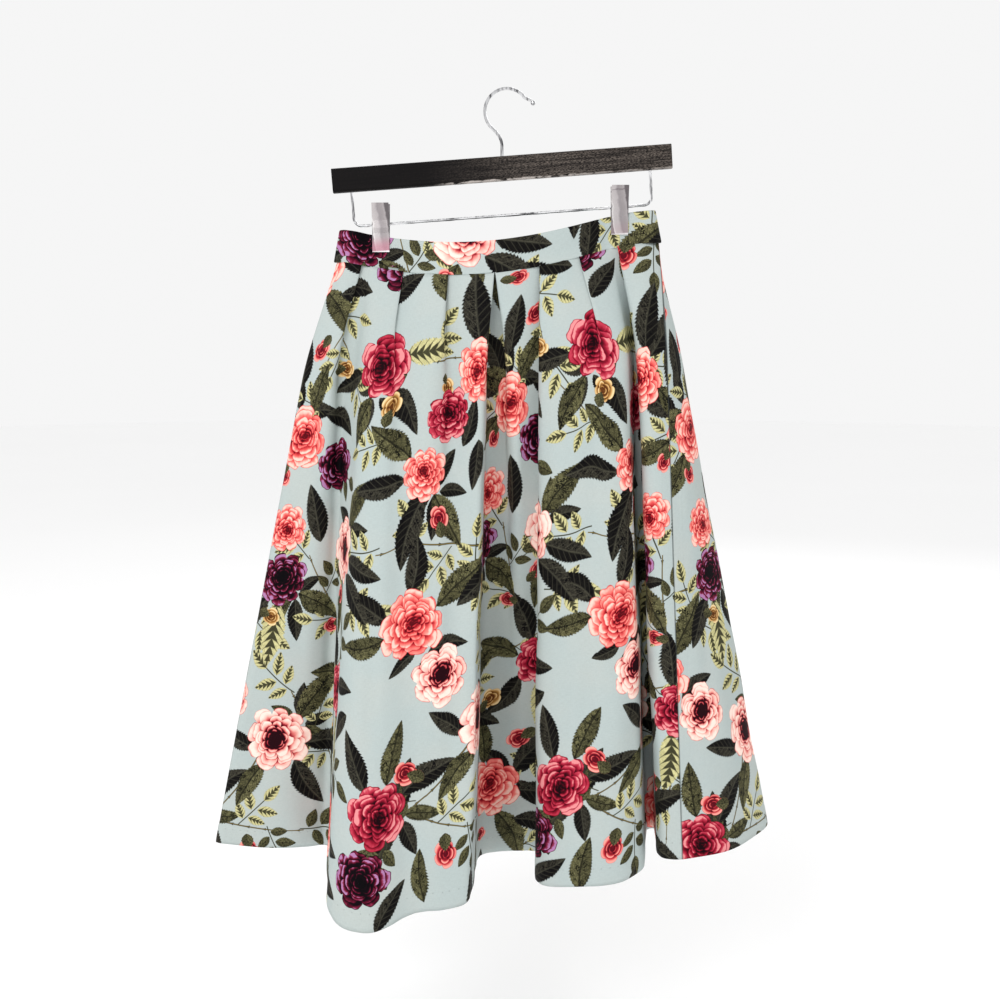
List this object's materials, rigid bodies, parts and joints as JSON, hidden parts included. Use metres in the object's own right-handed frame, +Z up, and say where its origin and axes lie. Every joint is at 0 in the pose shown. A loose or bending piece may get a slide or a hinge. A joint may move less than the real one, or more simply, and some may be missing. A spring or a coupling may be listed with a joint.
{
  "type": "a-line skirt on a clip hanger",
  "caption": "Knee-length a-line skirt with a plain waistband, pleats that open into deep folds and a printed floral cloth, held at the waist by the clips of a wooden bar hanger.",
  "frame": {"origin": "inside of the hanger hook's crown, where a rail or peg carries it", "axes": "+Z up, the skirt's front towards -Y, +X to the right as seen from the front"},
  "size_m": [0.6038, 0.305, 0.8295],
  "materials": {
    "cloth": "smooth matt cotton sateen with a printed flower pattern",
    "zip_tape": "plain woven tape",
    "bar_wood": "black stain, satin, grain showing",
    "wire": "bright plated wire",
    "clip_metal": "plated sheet metal, lightly brushed"
  },
  "bodies": {
    "root": {"waistband_front": "cloth", "waistband_back": "cloth", "front_panel": "cloth", "back_panel": "cloth", "side_zip": "zip_tape", "hanger_bar": "bar_wood", "hanger_hook": "wire", "hook_ball": "wire", "hanger_rod": "wire", "clip_left_front": "clip_metal", "clip_left_rear": "clip_metal", "clip_left_spring": "wire", "clip_right_front": "clip_metal", "clip_right_rear": "clip_metal", "clip_right_spring": "wire"}
  },
  "joints": []
}
